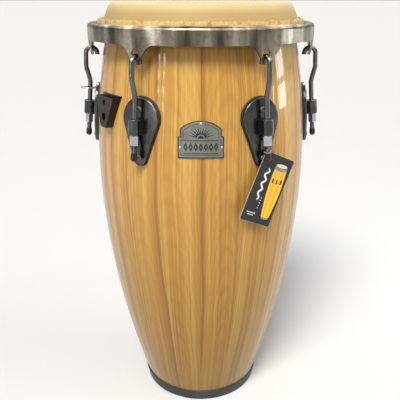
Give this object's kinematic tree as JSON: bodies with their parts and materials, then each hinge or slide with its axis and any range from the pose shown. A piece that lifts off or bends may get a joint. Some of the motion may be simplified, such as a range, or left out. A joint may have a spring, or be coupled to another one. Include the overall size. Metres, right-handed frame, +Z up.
{
  "type": "conga drum",
  "caption": "Tall single-headed stave hand drum with tucked hide head, rolled tuning rim, J-hooks, bowed lugs and a rubber foot ring.",
  "frame": {"origin": "centre of the foot ring's underside, on the floor", "axes": "+Z up along the drum's axis, the badge faces -Y, +X to the right seen from the badge side"},
  "size_m": [0.4099, 0.3718, 0.711],
  "materials": {
    "wood": "gloss lacquer over pale honey wood",
    "rubber": "satin black rubber",
    "hide": "dry cream rawhide",
    "rim_metal": "brushed black nickel",
    "hook_metal": "black nickel",
    "nut_metal": "bright nickel",
    "cap_plastic": "moulded black",
    "lug_metal": "glossy black nickel on die casting",
    "bracket_metal": "satin dark bronze-black",
    "zinc_steel": "zinc plated",
    "badge_metal": "pewter",
    "tag_card": "coated black card",
    "tag_plastic": "clear grey loop"
  },
  "bodies": {
    "shell": {"stave_1": "wood", "stave_2": "wood", "stave_3": "wood", "stave_4": "wood", "stave_5": "wood", "stave_6": "wood", "stave_7": "wood", "stave_8": "wood", "stave_9": "wood", "stave_10": "wood", "stave_11": "wood", "stave_12": "wood", "stave_13": "wood", "stave_14": "wood", "stave_15": "wood", "stave_16": "wood", "stave_17": "wood", "stave_18": "wood", "upper_inner_hoop": "wood", "lower_inner_hoop": "wood", "foot_ring": "rubber", "hide_head": "hide", "flesh_hoop": "zinc_steel", "lug_1": "lug_metal", "lug_2": "lug_metal", "lug_3": "lug_metal", "lug_4": "lug_metal", "lug_5": "lug_metal", "lug_6": "lug_metal", "lug_gaskets": "rubber", "lug_screws": "lug_metal", "inner_washers": "zinc_steel", "inner_nuts": "zinc_steel", "backing_plates": "zinc_steel", "badge": "badge_metal", "badge_rivets": "badge_metal", "stand_bracket": "bracket_metal", "bracket_screws": "zinc_steel", "wire_loop": "zinc_steel"},
    "rim": {"rim": "rim_metal"},
    "hook_1": {"hook_1": "hook_metal", "rod_cap_1": "cap_plastic", "tag_loop": "tag_plastic"},
    "nut_1": {"tuning_nut_1": "nut_metal"},
    "hook_2": {"hook_2": "hook_metal", "rod_cap_2": "cap_plastic"},
    "nut_2": {"tuning_nut_2": "nut_metal"},
    "hook_3": {"hook_3": "hook_metal", "rod_cap_3": "cap_plastic"},
    "nut_3": {"tuning_nut_3": "nut_metal"},
    "hook_4": {"hook_4": "hook_metal", "rod_cap_4": "cap_plastic"},
    "nut_4": {"tuning_nut_4": "nut_metal"},
    "hook_5": {"hook_5": "hook_metal", "rod_cap_5": "cap_plastic"},
    "nut_5": {"tuning_nut_5": "nut_metal"},
    "hook_6": {"hook_6": "hook_metal", "rod_cap_6": "cap_plastic"},
    "nut_6": {"tuning_nut_6": "nut_metal"},
    "hang_tag": {"tag_card": "tag_card"}
  },
  "joints": [
    {"name": "rim_slide", "type": "slide", "parent": "shell", "child": "rim", "axis": [0, 0, 1], "range_m": [0, 0.008]},
    {"name": "hook_1_slide", "type": "slide", "parent": "shell", "child": "hook_1", "axis": [-0.0479, 0.083, 0.9954], "range_m": [0, 0.0081]},
    {"name": "nut_1_turn", "type": "hinge", "parent": "shell", "child": "nut_1", "pos_m": [0.09753, -0.16892, 0.51959], "axis": [-0.0479, 0.083, 0.9954], "range_deg": [0, 2060]},
    {"name": "hook_2_slide", "type": "slide", "parent": "shell", "child": "hook_2", "axis": [-0.0958, 0, 0.9954], "range_m": [0, 0.0081]},
    {"name": "nut_2_turn", "type": "hinge", "parent": "shell", "child": "nut_2", "pos_m": [0.19505, 0, 0.51959], "axis": [-0.0958, 0, 0.9954], "range_deg": [0, 2060]},
    {"name": "hook_3_slide", "type": "slide", "parent": "shell", "child": "hook_3", "axis": [-0.0479, -0.083, 0.9954], "range_m": [0, 0.0081]},
    {"name": "nut_3_turn", "type": "hinge", "parent": "shell", "child": "nut_3", "pos_m": [0.09753, 0.16892, 0.51959], "axis": [-0.0479, -0.083, 0.9954], "range_deg": [0, 2060]},
    {"name": "hook_4_slide", "type": "slide", "parent": "shell", "child": "hook_4", "axis": [0.0479, -0.083, 0.9954], "range_m": [0, 0.0081]},
    {"name": "nut_4_turn", "type": "hinge", "parent": "shell", "child": "nut_4", "pos_m": [-0.09753, 0.16892, 0.51959], "axis": [0.0479, -0.083, 0.9954], "range_deg": [0, 2060]},
    {"name": "hook_5_slide", "type": "slide", "parent": "shell", "child": "hook_5", "axis": [0.0958, 0, 0.9954], "range_m": [0, 0.0081]},
    {"name": "nut_5_turn", "type": "hinge", "parent": "shell", "child": "nut_5", "pos_m": [-0.19505, 0, 0.51959], "axis": [0.0958, 0, 0.9954], "range_deg": [0, 2060]},
    {"name": "hook_6_slide", "type": "slide", "parent": "shell", "child": "hook_6", "axis": [0.0479, 0.083, 0.9954], "range_m": [0, 0.0081]},
    {"name": "nut_6_turn", "type": "hinge", "parent": "shell", "child": "nut_6", "pos_m": [-0.09753, -0.16892, 0.51959], "axis": [0.0479, 0.083, 0.9954], "range_deg": [0, 2060]},
    {"name": "tag_swing", "type": "hinge", "parent": "hook_1", "child": "hang_tag", "pos_m": [0.1009, -0.16177, 0.493], "axis": [0.5, -0.866, 0], "range_deg": [-20, 20]}
  ],
  "couplings": [
    {"joint": "hook_1_slide", "follows": "rim_slide", "ratio": 1.0046},
    {"joint": "nut_1_turn", "follows": "rim_slide", "rad_per_m": 4473.2},
    {"joint": "hook_2_slide", "follows": "rim_slide", "ratio": 1.0046},
    {"joint": "nut_2_turn", "follows": "rim_slide", "rad_per_m": 4473.2},
    {"joint": "hook_3_slide", "follows": "rim_slide", "ratio": 1.0046},
    {"joint": "nut_3_turn", "follows": "rim_slide", "rad_per_m": 4473.2},
    {"joint": "hook_4_slide", "follows": "rim_slide", "ratio": 1.0046},
    {"joint": "nut_4_turn", "follows": "rim_slide", "rad_per_m": 4473.2},
    {"joint": "hook_5_slide", "follows": "rim_slide", "ratio": 1.0046},
    {"joint": "nut_5_turn", "follows": "rim_slide", "rad_per_m": 4473.2},
    {"joint": "hook_6_slide", "follows": "rim_slide", "ratio": 1.0046},
    {"joint": "nut_6_turn", "follows": "rim_slide", "rad_per_m": 4473.2}
  ]
}
